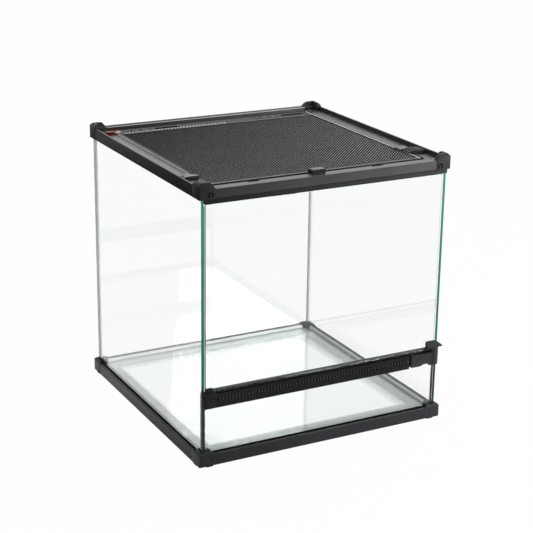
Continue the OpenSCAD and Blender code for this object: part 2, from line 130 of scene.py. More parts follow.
lamps_face = Vector((0, 0, 0.15))
for lamp_name, spot, watts, wide, high in (("key", (0.95, -1.15, 0.75), 20.0, 0.8, 0.8),
                                           ("overhead", (-0.2, 0.3, 2.2), 8.0, 1.6, 1.6),
                                           ("backlight", (1.0, 1.8, 2.0), 11.0, 2.6, 1.1)):
    lamp = bpy.data.lights.new(lamp_name, "AREA")
    lamp.energy = watts
    lamp.shape = "RECTANGLE"
    lamp.size = wide
    lamp.size_y = high
    lamp_piece = bpy.data.objects.new(lamp_name, lamp)
    lamp_piece.location = spot
    aim = lamps_face - Vector(spot)
    lamp_piece.rotation_euler = aim.to_track_quat("-Z", "Y").to_euler()
    scene.collection.objects.link(lamp_piece)

# ---------------------------------------------------------------------------------------------
# Base rails: four lengths of satin black moulded channel. The outer wall stands in front of the
# glass, the groove holds it, and a flange carries the floor pane on a bedding whose grey tones,
# pale at the back and darker at the front and right, are painted shade. The wall tops of the back
# and right rails are painted near black, as painted shade, and the rails carry a painted light
# ramp.
mm = 0.001


def blank(name, values):
    """A new material, its tree and its shader, whose own sockets take the values."""
    mat = bpy.data.materials.new(name)
    mat.use_nodes = True
    shader = mat.node_tree.nodes["Principled BSDF"]
    for socket, value in values.items():
        shader.inputs[socket].default_value = value
    return mat, mat.node_tree, shader


def object_place(tree):
    """Object coordinates, in metres."""
    return add_node(tree, "TexCoord").outputs["Object"]


def split_up(tree, place):
    """The coordinates as "X", "Y" and "Z"."""
    return add_node(tree, "SeparateXYZ", feeds={"Vector": place}).outputs


def noise(tree, place, scale, detail=2.0):
    """Noise from 0 to 1 with the number of waves per metre."""
    return add_node(tree, "TexNoise", {"Scale": scale, "Detail": detail},
                    {"Vector": place}).outputs["Fac"]


def line(tree, source, low=0.0, high=1.0, start=0.0, end=1.0):
    """The straight line from start where the source is low to end where it is high, held
    beyond both."""
    return add_node(tree, "MapRange", {"From Min": low, "From Max": high, "To Min": start,
                                       "To Max": end}, {"Value": source}).outputs["Result"]


def ramp(tree, factor, *stops):
    """Colour that runs through the stops (place, colour), given in rising order."""
    node = add_node(tree, "ValToRGB", feeds={"Fac": factor})
    ends = node.color_ramp.elements
    for element, (place, colour) in zip(ends[:2], (stops[0], stops[-1])):
        element.position = place
        element.color = (*colour, 1)
    for place, colour in stops[1:-1]:
        node.color_ramp.elements.new(place).color = (*colour, 1)
    return node.outputs["Color"]


def scaled(tree, colour, factor):
    """The colour times the factor."""
    return add_node(tree, "VectorMath", feeds={0: colour, "Scale": factor},
                    operation="SCALE").outputs[0]


def bumped(tree, shader, height, strength, distance):
    """Turns the shader's normal by the slope of the height."""
    bump = add_node(tree, "Bump", {"Strength": strength, "Distance": distance},
                    {"Height": height})
    tree.links.new(bump.outputs["Normal"], shader.inputs["Normal"])


def satin_plastic(name, colour, rough, grain=1400.0, grain_depth=0.00006, spread=0.25,
                  specular=0.12, painted_light_ramp=None):
    """Moulded plastic. Colour = c (1 - s/2 + s n1), with n1 a slow noise stretched from
    0.3..0.7 to 0..1; roughness = r + 0.16 (n2 - 0.5), with n2 a streaky noise drawn out along
    the mould's flow; the grain is a fine bump. A painted light ramp (axis, a, b) also scales the
    colour by a line from a at -150 mm to b at 150 mm: painted light towards one end of the axis
    and painted shade towards the other."""
    mat, tree, shader = blank(name, {"Specular IOR Level": specular})
    place = object_place(tree)
    tone = ramp(tree, noise(tree, place, 22.0, 4.0),
                (0.3, [c * (1 - spread / 2) for c in colour]),
                (0.7, [c * (1 + spread / 2) for c in colour]))
    if painted_light_ramp:
        axis, start, end = painted_light_ramp
        tone = scaled(tree, tone,
                      line(tree, split_up(tree, place)[axis], -0.15, 0.15, start, end))
    tree.links.new(tone, shader.inputs["Base Color"])
    flow = add_node(tree, "Mapping", {"Scale": (30.0, 30.0, 220.0)}, {"Vector": place})
    streak = noise(tree, flow.outputs["Vector"], 1.0, 3.0)
    tree.links.new(line(tree, streak, 0.0, 1.0, rough - 0.08, rough + 0.08),
                   shader.inputs["Roughness"])
    bumped(tree, shader, noise(tree, place, grain), 0.5, grain_depth)
    return mat


def rounded_outline(points, radius, steps=4):
    """Closed outline with every corner P rounded off by the curve (1-t)^2 A + 2t(1-t) P + t^2 B,
    where A and B lie the radius away from P along its two sides."""
    p = np.asarray(points, float)
    a, b = np.roll(p, 1, axis=0) - p, np.roll(p, -1, axis=0) - p
    la = np.linalg.norm(a, axis=1, keepdims=True)
    lb = np.linalg.norm(b, axis=1, keepdims=True)
    r = np.minimum(radius, 0.45 * np.minimum(la, lb))
    t = np.linspace(0, 1, steps)[None, :, None]
    arc = (1 - t) ** 2 * (p + a / la * r)[:, None] + 2 * t * (1 - t) * p[:, None] \
        + t ** 2 * (p + b / lb * r)[:, None]
    return arc.reshape(-1, 2)


def skin(rings, n):
    """Faces of a solid drawn over rings of n points: quad (j, i) joins points i and i + 1 of
    rings j and j + 1, and the first and last ring are closed."""
    j, i = np.meshgrid(np.arange(rings - 1), np.arange(n), indexing="ij")
    k = (i + 1) % n
    quads = np.stack([j * n + i, j * n + k, (j + 1) * n + k, (j + 1) * n + i], -1).reshape(-1, 4)
    return quads.tolist() + [list(range(n)), list(range((rings - 1) * n, rings * n))]


def channel(outline, stations, frame_of):
    """Outline carried along a straight line: point (j, i) = frame_of(s_j, a_i, z_i). Returns the
    points and faces, with both ends closed."""
    s, n = np.asarray(stations, float), len(outline)
    a = np.broadcast_to(outline[None, :, 0], (len(s), n))
    z = np.broadcast_to(outline[None, :, 1], (len(s), n))
    points = frame_of(np.broadcast_to(s[:, None], (len(s), n)), a, z).reshape(-1, 3)
    return points, skin(len(s), n)


def along_x(sign):
    """(s, a, z) to a rail that runs along X, its outer side at Y = sign a."""
    return lambda s, a, z: np.stack([s, sign * a, z], -1) * mm


def along_y(sign):
    """(s, a, z) to a rail that runs along Y, its outer side at X = sign a."""
    return lambda s, a, z: np.stack([sign * a, s, z], -1) * mm


def piece(name, points, faces, mats, body, nodes=(), sharp=40.0):
    """A mesh piece that rides on a body and stands for the named solids. Faces are turned
    outwards, and edges sharper than the angle stay crisp."""
    mesh = bpy.data.meshes.new(name)
    mesh.from_pydata(points.tolist(), [], faces)
    work = bmesh.new()
    work.from_mesh(mesh)
    bmesh.ops.recalc_face_normals(work, faces=work.faces)
    work.to_mesh(mesh)
    work.free()
    mesh.polygons.foreach_set("use_smooth", np.ones(len(mesh.polygons), bool))
    mesh.set_sharp_from_angle(angle=math.radians(sharp))
    for mat in mats:
        mesh.materials.append(mat)
    obj = bpy.data.objects.new(name, mesh)
    scene.collection.objects.link(obj)
    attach(obj, body)
    if nodes:
        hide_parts(*nodes)
    return obj


def eased(node, mat, body, width=0.35, steps=2, cuts=()):
    """The solid of a node with its edges rounded by the width in millimetres, like a moulding.
    Each cut (axis, place) splits the flat faces along that plane, so that a band of them may
    take a material of its own."""
    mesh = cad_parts[node].data.copy()
    work = bmesh.new()
    work.from_mesh(mesh)
    bmesh.ops.remove_doubles(work, verts=work.verts, dist=1e-6)
    bmesh.ops.dissolve_limit(work, angle_limit=math.radians(0.5), verts=work.verts,
                             edges=work.edges)
    for axis, place in cuts:
        facing = np.eye(3)[axis]
        bmesh.ops.bisect_plane(work, geom=work.verts[:] + work.edges[:] + work.faces[:],
                               dist=1e-7, plane_co=facing * place * mm, plane_no=facing)
    work.to_mesh(mesh)
    work.free()
    mesh.polygons.foreach_set("use_smooth", np.ones(len(mesh.polygons), bool))
    mesh.materials.clear()
    mesh.materials.append(mat)
    obj = bpy.data.objects.new("dressed_" + node, mesh)
    scene.collection.objects.link(obj)
    edge = obj.modifiers.new("eased", "BEVEL")
    edge.width = width * mm
    edge.segments = steps
    edge.limit_method = "ANGLE"
    edge.angle_limit = math.radians(28.0)
    edge.use_clamp_overlap = True
    edge.harden_normals = True
    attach(obj, body)
    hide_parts(node)
    return obj


def lay_on(obj, mat, low, high, rise=-2.0):
    """Gives a material of its own to the faces whose centre lies in the box from low to high,
    in millimetres, and whose normal rises by at least the given amount."""
    mesh = obj.data
    centre = np.zeros(3 * len(mesh.polygons))
    normal = np.zeros(3 * len(mesh.polygons))
    mesh.polygons.foreach_get("center", centre)
    mesh.polygons.foreach_get("normal", normal)
    at, lean = centre.reshape(-1, 3) / mm, normal.reshape(-1, 3)
    inside = np.all((at > low) & (at < high), axis=1) & (lean[:, 2] >= rise)
    kinds = np.zeros(len(mesh.polygons), dtype=np.int32)
    mesh.polygons.foreach_get("material_index", kinds)
    kinds[inside] = len(mesh.materials)
    mesh.materials.append(mat)
    mesh.polygons.foreach_set("material_index", kinds)


level = 0.9         # least rise of a face that counts as flat and facing up
# The rails' colours carry a painted light ramp: lighter to the right on the front and back rails,
# lighter to the front on the side rails.
black_rail = satin_plastic("black_rail_plastic", (0.024, 0.024, 0.026), 0.36, specular=0.09,
                           painted_light_ramp=("X", 0.70, 1.45))
side_rail = satin_plastic("black_side_rail_plastic", (0.021, 0.021, 0.023), 0.36, specular=0.09,
                          painted_light_ramp=("Y", 2.10, 0.45))
base_ledge = satin_plastic("black_ledge_plastic", (0.030, 0.030, 0.032), 0.36, specular=0.14)
# Near-black plastic used as painted shade: it darkens gaps, joints and edges that lie in shade.
painted_shade_black = satin_plastic("deep_black_plastic", (0.003, 0.003, 0.003), 0.55, specular=0.01)
# The bedding's tones are painted shade: the grey band of shadow round the floor pane, darkest at
# the front and right and palest at the back.
painted_shade_bedding = {rail: satin_plastic("shaded_bedding_" + rail, tone, 0.5, grain=500.0)
                for rail, tone in (("front", (0.25, 0.27, 0.26)), ("back", (0.90, 0.92, 0.91)),
                                   ("left", (0.38, 0.41, 0.40)), ("right", (0.22, 0.24, 0.23)))}
base_profile = rounded_outline(
    [(154, 1), (154, 14.0), (153.3, 14.7), (149.8, 14.7), (149.8, 5.5), (146.2, 5.5),
     (146.2, 8.5), (130, 8.5), (130, 6), (143.5, 6), (143.5, 1), (146, 1), (146, 3),
     (151.5, 3), (151.5, 1)], 0.35)
base_rail_half = 134.0
flange_top = (-147, -147, 8), (147, 147, 9)
wall_top = (-155, -155, 13), (155, 155, 16)
for rail in ("front", "back", "left", "right"):
    if rail in ("front", "back"):
        points, faces = channel(base_profile, [-base_rail_half, base_rail_half],
                                along_x(-1 if rail == "front" else 1))
        obj = piece("dressed_base_rail_" + rail, points, faces, [black_rail], "tank",
                    ["base_rail_" + rail])
    else:
        obj = eased("base_rail_" + rail, side_rail, "tank")
    # Painted shade: the flange under the floor pane takes its side's bedding tone, and the back and
    # right wall tops the near-black plastic.
    lay_on(obj, painted_shade_bedding[rail], *flange_top, rise=level)
    lay_on(obj, painted_shade_black if rail in ("back", "right") else base_ledge, *wall_top, rise=0.6)

# ---------------------------------------------------------------------------------------------
# Base corner fittings: the same black plastic, moulded with soft edges and a pad underfoot. The
# rails plug into them, and their inner posts show through the glass.
# This plastic, used again for the top caps, the lid, the locks and the catch, carries a painted
# light ramp, lighter to the right.
black_cap = satin_plastic("black_cap_plastic", (0.022, 0.022, 0.024), 0.40, grain=1800.0,
                          painted_light_ramp=("X", 0.70, 1.40))
for corner in ("fl", "fr", "bl", "br"):
    eased("base_corner_" + corner, black_cap, "tank", width=0.5, steps=3)

# ---------------------------------------------------------------------------------------------
# Panes: 3 mm float glass, cut and ground. The faces are clear, and the cut edges show the deep
# green of the glass, painted darker low down and near black by the vent strip as painted shade,
# and lighter towards the top as painted light; the back pane's edges take a shaded copy and the
# floor pane a deeper tint, both painted shade. The lower pane and the door make up the front.


def clear_glass(name, thin_tint, full_tint):
    """Smooth glass. Its tint varies between the two by a slow noise, and lamp light passes
    straight through."""
    mat, tree, shader = blank(name, {"Transmission Weight": 1.0, "Roughness": 0.0, "IOR": 1.5,
                                     "Specular IOR Level": 0.3})
    haze = noise(tree, object_place(tree), 9.0, 5.0)
    tree.links.new(ramp(tree, haze, (0, full_tint), (1, thin_tint)),
                   shader.inputs["Base Color"])
    thru = add_node(tree, "BsdfTransparent", {"Color": (0.93, 0.95, 0.94, 1)})
    path = add_node(tree, "LightPath").outputs
    mix = add_node(tree, "MixShader",
                   feeds={0: larger(tree, path["Is Shadow Ray"], path["Is Diffuse Ray"]),
                          1: shader.outputs[0], 2: thru.outputs[0]})
    tree.links.new(mix.outputs[0], tree.nodes["Material Output"].inputs["Surface"])
    return mat


def cut_edge(name, fresh_low, fresh_high):
    """Ground edge of the glass: nearly black up to the height of the vent strip, as painted shade,
    then a green that freshens up to z = 0.3 m, as painted light, broken by a fine noise of the
    grinding."""
    mat, tree, shader = blank(name, {"Roughness": 0.22, "Specular IOR Level": 0.15})
    place = object_place(tree)
    deep, dark = (0.010, 0.034, 0.027), (0.004, 0.012, 0.011)
    tone = ramp(tree, line(tree, split_up(tree, place)["Z"], 0.0, 0.3), (0, deep), (0.24, deep),
                (0.27, dark), (0.295, dark), (0.315, fresh_low), (1, fresh_high))
    fine = noise(tree, place, 260.0)
    tree.links.new(scaled(tree, tone, line(tree, fine, 0.0, 1.0, 0.75, 1.2)),
                   shader.inputs["Base Color"])
    bumped(tree, shader, fine, 0.3, 0.00005)
    return mat


def pane(node, body, outline, thin, low, high, edge, clear, arris=0.3):
    """Flat pane. Station t of the outline, drawn in by d, is carried through the thickness at
    (t, d) = (low, a), (low + a, 0), (high - a, 0), (high, a), with a the arris; thin names the
    thin axis."""
    p = np.asarray(outline, float)
    pull = np.sign(p - p.mean(axis=0))
    rings = [np.c_[p - pull * d, np.full(len(p), t)]
             for t, d in ((low, arris), (low + arris, 0), (high - arris, 0), (high, arris))]
    order = {"x": [2, 0, 1], "y": [0, 2, 1], "z": [0, 1, 2]}[thin]
    points = np.concatenate(rings)[:, order] * mm
    obj = piece("pane_" + node, points, skin(len(rings), len(p)), [clear, edge], body, [node],
                sharp=10.0)
    broad = 0.01        # square metres, more than any cut edge has
    kinds = np.array([0 if len(f.vertices) == len(p) and f.area > broad else 1
                      for f in obj.data.polygons], dtype=np.int32)
    obj.data.polygons.foreach_set("material_index", kinds)


def oblong(a0, b0, a1, b1):
    """The four corners of a rectangle, in order."""
    return [(a0, b0), (a1, b0), (a1, b1), (a0, b1)]


glass = clear_glass("clear_glass", (0.980, 0.988, 0.985), (0.965, 0.976, 0.971))
# The floor pane's glass is tinted deeper than the others, as painted shade over the floor seen
# through it.
floor_tint = clear_glass("floor_pane_glass", (0.89, 0.93, 0.91), (0.85, 0.90, 0.875))
green_edge = cut_edge("green_cut_edge", (0.013, 0.115, 0.082), (0.022, 0.240, 0.170))
# A darker copy for the back pane's edges, painted shade.
shaded_edge = cut_edge("shaded_cut_edge", (0.006, 0.014, 0.012), (0.008, 0.022, 0.018))
glass_in, glass_out = 146.5, 149.5          # faces of the upright panes
glass_low, glass_high = 5.5, 303.2
between = 146.2                             # half width of a pane set between the sides
clip = 141.2                                # where the floor pane's corners are cut off
floor_low, floor_high = 8.55, 11.5
side_outline = oblong(-glass_out, glass_low, glass_out, glass_high)
back_outline = oblong(-between, glass_low, between, glass_high)
front_outline = oblong(-between, glass_low, between, 72.5)
door_outline = oblong(-144.2, 85.2, 145.5, 292.7)
pane("floor_glass", "tank",
     [(-between, -clip), (-clip, -between), (clip, -between), (between, -clip),
      (between, clip), (clip, between), (-clip, between), (-between, clip)],
     "z", floor_low, floor_high, green_edge, floor_tint)
pane("left_glass", "tank", side_outline, "x", -glass_out, -glass_in, green_edge, glass)
pane("right_glass", "tank", side_outline, "x", glass_in, glass_out, green_edge, glass)
pane("back_glass", "tank", back_outline, "y", glass_in, glass_out, shaded_edge, glass)
pane("low_front_glass", "tank", front_outline, "y", -glass_out, -glass_in, green_edge, glass)
pane("door_glass", "door", door_outline, "y", -glass_out, -glass_in, glass, glass)

# ---------------------------------------------------------------------------------------------
# Sealant and seal: silicone beads run down the upright corners and along the rails and the
# floor pane. Their colours are painted light and shade: pale at the back and right, near black
# at the front and left, where the beads along the rails stand for the shade in the joint. A soft
# grey strip is glued to the left pane where the door meets it.
# The same silicone in a pale copy, painted light, for the back corners, and a dark copy, painted
# shade, for the front corners.
corner_bead_painted_light = satin_plastic("corner_sealant_painted_light", (0.62, 0.65, 0.64), 0.34, grain=300.0,
                           grain_depth=0.0003)
corner_bead_painted_shade = satin_plastic("corner_sealant_painted_shade", (0.055, 0.060, 0.060), 0.34, grain=300.0,
                          grain_depth=0.0003)


def bead_line(name, sx, sy, radius, z0, z1, mat):
    """Bead with the section of a quarter round, r(z) = R (0.96 + 0.04 sin 0.17 z): a point at
    angle t and height z is (g - r cos t, g - r sin t, z), with g the inner face of the glass,
    in millimetres."""
    t = np.linspace(0, math.pi / 2, 7)
    z = np.linspace(z0, z1, 60)
    r = radius * (0.96 + 0.04 * np.sin(0.17 * z)[:, None])
    nook = np.full((len(z), 1), glass_in)
    a = np.concatenate([glass_in - r * np.cos(t)[None, :], nook], axis=1)
    b = np.concatenate([glass_in - r * np.sin(t)[None, :], nook], axis=1)
    points = np.stack([sx * a, sy * b, np.broadcast_to(z[:, None], a.shape)], -1) * mm
    piece(name, points.reshape(-1, 3), skin(*a.shape), [mat], "tank", ["corner_beads"])


bead_foot = 18.2
for back_or_front, sy, radius, bead_top, mat in (("back", 1, 2.6, 298.6, corner_bead_painted_light),
                                                 ("front", -1, 2.2, 67.0, corner_bead_painted_shade)):
    for side, sx in (("left", -1), ("right", 1)):
        bead_line("bead_%s_%s" % (back_or_front, side), sx, sy, radius, bead_foot, bead_top, mat)
grey_seal = satin_plastic("grey_seal", (0.34, 0.37, 0.36), 0.45, grain=500.0)
eased("door_seal", grey_seal, "tank", width=0.5, steps=3)

# Pale copies for the floor beads, paler at the back than at the right, as painted light.
floor_bead_painted_light = {side: satin_plastic("floor_sealant_painted_light_" + side, tone, 0.45, grain=300.0)
             for side, tone in (("back", (0.92, 0.94, 0.93)), ("right", (0.60, 0.62, 0.61)))}
quarter = np.linspace(0, math.pi / 2, 6)
bead_stations = 81
swell = 1 + 0.03 * np.cos(np.linspace(0, 40, bead_stations))[:, None]
# The beads along the front and left rails are near black, painted shade in the joint; those along
# the floor pane at the back and right are pale, painted light.
for name, way, at, foot, lean, radius, half, mat in (
        ("joint_bead_front", along_x(-1), 149.55, 14.7, 1, 1.5, 137, painted_shade_black),
        ("joint_bead_left", along_y(-1), 149.55, 14.7, 1, 1.5, 137, painted_shade_black),
        ("floor_bead_back", along_x(1), 146.45, 11.55, -1, 2.9, 143, floor_bead_painted_light["back"]),
        ("floor_bead_right", along_y(1), 146.45, 11.55, -1, 2.9, 143, floor_bead_painted_light["right"])):
    # quarter round of radius r(s) = R (1 + 0.03 cos w s) in the nook at (at, foot)
    r = radius * swell
    section = np.r_[np.c_[lean * np.cos(quarter), np.sin(quarter)], [[0, 0]]]
    points, faces = channel(section, np.linspace(-half, half, bead_stations),
                            lambda s, a, z: way(s, at + a * r, foot + z * r))
    piece(name, points, faces, [mat], "tank")

# ---------------------------------------------------------------------------------------------
# Border of the floor pane: a film under its rim, painted shade for the band of shadow round the
# floor, thickest over the flange of the base rails and thinning out inwards, with a soft inner
# edge at the back and right.
film_front, film_left, film_deep = 121.0, 126.0, 112.0
film_rim, film_low, film_high = 145.5, 8.51, 8.54
# axis, place of the inner edge and run from there to full cover
film_sides = (("Y", -film_front, -5), ("Y", film_deep, 20), ("X", -film_left, -6),
              ("X", film_deep, 20))


def painted_shade_border():
    """Film of painted shade whose cover falls from 1 at the rim to 0 at the inner edge, as the
    largest of the four sides' linear ramps in x and y, times a cloudy noise. It is paler towards
    the back, as painted light."""
    mat, tree, film = blank("painted_shade_border", {"Roughness": 0.6})
    place = object_place(tree)
    split = split_up(tree, place)
    tree.links.new(ramp(tree, line(tree, split["Y"], 0.10, 0.13), (0, (0.45, 0.475, 0.47)),
                        (1, (0.93, 0.95, 0.94))), film.inputs["Base Color"])
    cover = None
    for axis, start, run in film_sides:
        side = line(tree, split[axis], start * mm, (start + run) * mm)
        cover = side if cover is None else larger(tree, cover, side)
    cloud = line(tree, noise(tree, place, 60.0), 0.0, 1.0, 0.62, 0.74)
    share = add_node(tree, "Math", feeds={0: cover, 1: cloud}, operation="MULTIPLY")
    clear = add_node(tree, "BsdfTransparent")
    mix = add_node(tree, "MixShader",
                   feeds={0: share.outputs[0], 1: clear.outputs[0], 2: film.outputs[0]})
    tree.links.new(mix.outputs[0], tree.nodes["Material Output"].inputs["Surface"])
    return mat


# a flat ring: four loops of four corners, joined round and closed on themselves
outer = np.array(oblong(-film_rim, -film_rim, film_rim, film_rim))
inner = np.array(oblong(-film_left, -film_front, film_deep, film_deep))
loops = np.concatenate([np.c_[xy, np.full(4, z)] for xy, z in
                        ((outer, film_low), (outer, film_high), (inner, film_high),
                         (inner, film_low))])
j, i = np.meshgrid(np.arange(4), np.arange(4), indexing="ij")
k, m = (i + 1) % 4, (j + 1) % 4
piece("floor_border_painted_shade", loops * mm,
      np.stack([j * 4 + i, j * 4 + k, m * 4 + k, m * 4 + i], -1).reshape(-1, 4).tolist(),
      [painted_shade_border()], "tank")

# ---------------------------------------------------------------------------------------------
# Vent strip and its left end piece: moulded black plastic, clipped over the low pane, with a
# row of slots for air. The bars between the slots are painted lighter, as painted light, and the
# top of the strip near black, as painted shade. The end piece carries the lower door pin, and a
# short length of the back rim closes the gap beside it.
strip_black = satin_plastic("black_strip_plastic", (0.013, 0.013, 0.014), 0.38, specular=0.05)
strip_bar_painted_light = satin_plastic("black_bar_painted_light", (0.030, 0.030, 0.032), 0.38, specular=0.05)
bar_low, bar_high = 74.6, 78.1              # heights of the bars between the slots
bar_left, bar_right = -132, 111
strip_face, strip_arris, strip_back = -152.1, -151.1, -143
strip_top, rim_top = 84.2, 86.9
strip = eased("vent_strip", strip_black, "tank", width=0.25,
              cuts=((2, bar_low), (2, bar_high)))
# The bars between the slots and the walls of the slots take a lighter copy, painted light.
lay_on(strip, strip_bar_painted_light, (bar_left, strip_face, bar_low), (bar_right, -143.3, bar_high))
# The top of the strip behind its front arris, and the arris itself, are painted near black, as
# painted shade.
lay_on(strip, painted_shade_black, (-154, strip_arris, strip_top), (154, strip_back, rim_top))
lay_on(strip, painted_shade_black, (-154, strip_arris - 0.8, strip_top - 0.8),
       (154, strip_arris, strip_top))
eased("hinge_end", strip_black, "tank", width=0.4)
rim_section = np.array(oblong(143.3, 84.35, 146.0, 86.7))
rim_start, rim_stop = -135.4, -132.7
points, faces = channel(rim_section, [rim_start, rim_stop], along_x(-1))
piece("rim_end", points, faces, [strip_black], "tank")

# ---------------------------------------------------------------------------------------------
# Door fittings and latch: moulded shoes pressed on the door pane, which turn on its pins, and
# a finger wing at the free corner. The latch arm is a springy moulding on the strip, and its
# barrel turns on a pin of its own.
eased("hinge_shoe_bottom", strip_black, "door", width=0.3)
eased("hinge_shoe_top", strip_black, "door", width=0.3)
latch_black = satin_plastic("black_latch_plastic", (0.030, 0.030, 0.033), 0.34, spread=0.7,
                            specular=0.16)
wing_top = satin_plastic("worn_wing_plastic", (0.030, 0.030, 0.032), 0.36, specular=0.03)
wing_room = (120, -156, 88), (156, -147, 97)
lay_on(eased("door_catch", latch_black, "door"), wing_top, *wing_room, rise=0.3)
eased("latch_arm", latch_black, "latch", width=0.4)

# ---------------------------------------------------------------------------------------------
# Top frame: four black moulded rails, the front one with a lip over the door, plugged into
# four corner caps with a window in each. Their level tops carry a painted sheen, the channel
# floors of the side rails a lighter one, and the back rail's top painted shade; the lips and left
# outer sides are painted dark as painted shade, a painted glint runs along the back rail, and the
# windows are painted lighter as painted light.
# The top plastics carry painted light ramps: lighter to the right, and on the left outer sides
# lighter to the back.
top_black = satin_plastic("black_top_plastic", (0.050, 0.050, 0.053), 0.40,
                          painted_light_ramp=("X", 0.50, 1.45))
# A darker copy for the left outer sides, painted shade.
shaded_side_black = satin_plastic("black_side_plastic", (0.008, 0.008, 0.009), 0.40, specular=0.02,
                           painted_light_ramp=("Y", 0.9, 2.2))
# A darker copy for the lip over the door, painted shade.
shaded_lip_black = satin_plastic("black_lip_plastic", (0.020, 0.020, 0.022), 0.40,
                          painted_light_ramp=("X", 0.45, 1.35))
# A lighter, glossier copy for level tops, painted sheen.
painted_sheen_ledge = satin_plastic("black_top_ledge", (0.085, 0.085, 0.087), 0.40, specular=0.5)
# Lighter still for the floors of the side channels, painted sheen.
painted_sheen_channel = satin_plastic("pale_top_ledge", (0.14, 0.14, 0.142), 0.40, specular=0.5)
# A darker, duller copy, painted shade, for tops that lie in shade and for the body of the side
# rails.
shaded_ledge = satin_plastic("black_dull_ledge", (0.035, 0.035, 0.037), 0.42, specular=0.08)
# A pale strip for an edge that catches the light, painted glint.
painted_glint = satin_plastic("painted_glint_plastic", (0.55, 0.55, 0.555), 0.40)
# A grey for the insides of the cap windows, painted light in their recesses.
painted_light_window = satin_plastic("cap_window_painted_light", (0.16, 0.16, 0.163), 0.40)
lip = (-151, -152, 293), (151, -143, 298.7)
level_tops = (-153, -153, 299), (153, 153, 316)
channel_floor = (-144, -135, 305), (144, 135, 306)
shadow_x = 135.6                            # the right channel is dark from the lid to here
channel_shadow = (133.5, -135, 305), (shadow_x, 135, 306)
arris_low = 309.4                           # a painted glint runs along the back rail's inner edge above this height
back_arris = (-134, 143.9, 309.5), (134, 144.1, 310.6)
outer_side = (-152.8, -134, 298), (-151.9, 134, 311.3)
rail_cuts = {"back": [(2, arris_low)], "right": [(0, shadow_x)]}
for rail in ("front", "back", "left", "right"):
    on_side = rail in ("left", "right")
    obj = eased("top_rail_" + rail, shaded_ledge if on_side else top_black, "tank", steps=3,
                cuts=rail_cuts.get(rail, ()))
    # Painted shade on the lips, painted sheen on the level tops (painted shade on the back rail's),
    # painted sheen on the side channels' floors with painted shade beside the lid, a painted glint
    # along the back rail, and painted shade on the left outer side.
    lay_on(obj, shaded_lip_black, *lip)
    lay_on(obj, shaded_ledge if rail == "back" else painted_sheen_ledge, *level_tops, rise=level)
    if on_side:
        lay_on(obj, painted_sheen_channel, *channel_floor, rise=level)
        lay_on(obj, painted_shade_black, *channel_shadow, rise=level)
    lay_on(obj, painted_glint, *back_arris)
    lay_on(obj, shaded_side_black, *outer_side)
cap_top = (-153, -153, 305), (153, 153, 311.2)
cap_side = (-153, -153, 298), (-151.8, 153, 318)
cap_window = (-143, -152.45, 294.5), (143, -150.5, 302.2)
for corner in ("fl", "fr", "bl", "br"):
    cap = eased("top_corner_" + corner, black_cap, "tank", width=0.4, steps=3)
    # Painted sheen on the cap tops, painted shade on their left sides, painted light in their
    # windows.
    lay_on(cap, painted_sheen_ledge, *cap_top, rise=0.6)
    lay_on(cap, shaded_side_black, *cap_side)
    lay_on(cap, painted_light_window, *cap_window)

# ---------------------------------------------------------------------------------------------
# Lid frame: one black moulding that holds the screen under a raised rim, with a row of small
# teeth along its back bar. Its level tops carry a painted sheen and its back bar painted shade;
# the rim carries painted highlights and painted shade along its sides, and the teeth's tops are
# painted pale, as painted light.
# Pale copies for the rim, painted highlights, and for the teeth, painted light.
rim_painted_highlight = satin_plastic("pale_rim_line", (0.60, 0.60, 0.605), 0.40, specular=0.4)
rim_side_painted_highlight = satin_plastic("pale_rim_side", (0.90, 0.90, 0.905), 0.40, specular=0.4)
tooth_painted_light = satin_plastic("teeth_painted_light", (0.62, 0.62, 0.62), 0.42)
rim_in, rim_mid, rim_out = 127.3, 129.2, 131
back_bar, tooth_end = 114.3, 117.2
lid_low, lid_top = 307.5, 308.1             # heights that hold the top of the raised rim
lid = eased("lid_frame", black_cap, "lid", width=0.25,
            cuts=((0, -rim_in), (0, rim_in), (0, rim_mid), (1, back_bar), (1, tooth_end)))
# Painted sheen on the level tops and the left flange, painted shade on the back bar, the left rim's
# top and the right rim's outer strip, and a painted highlight on the right rim's inner strip.
for mat, low, high in (
        (painted_sheen_ledge, (-140, -140, lid_low), (140, 140, lid_top)),
        (shaded_ledge, (-140, back_bar, lid_low), (140, 140, lid_top)),
        (shaded_ledge, (-rim_out, -127, lid_low), (-127, 127, lid_top)),
        (painted_shade_black, (rim_mid, -130, lid_low), (rim_out, 130, lid_top)),
        (rim_painted_highlight, (127.2, -130, lid_low), (rim_mid, 130, lid_top)),
        (painted_sheen_ledge, (-133, -130, 305.3), (-130.2, 130, 305.5))):
    lay_on(lid, mat, low, high, rise=level)
# A painted highlight on the left rim's outer wall.
lay_on(lid, rim_side_painted_highlight, (-130.5, -130, 305.5), (-130.1, 130, 307.8))
# Painted light on the teeth's tops, for the white that shows between them.
lay_on(lid, tooth_painted_light, (-123, 114, 307.95), (9, 117.5, 308.6))

# ---------------------------------------------------------------------------------------------
# Screen: fine dark wire in a plain weave, stretched flat and clamped in the lid frame. The
# crowns of the weft carry a painted glint, strongest at the right front.
wire_r, wave, sheet_z = 0.30, 0.27, 306.6
weft, warp = (-128.9, 128.9, 1.985), (-128.1, 113.9, 2.08)      # low, high and pitch, X and Y
# Heights and spread of the painted glint on the weft's crowns.
glint_start, glint_end = 0.18, 0.48             # heights above the sheet's middle
glint_middle, glint_x, glint_y = 0.55, 2.4, -2.7


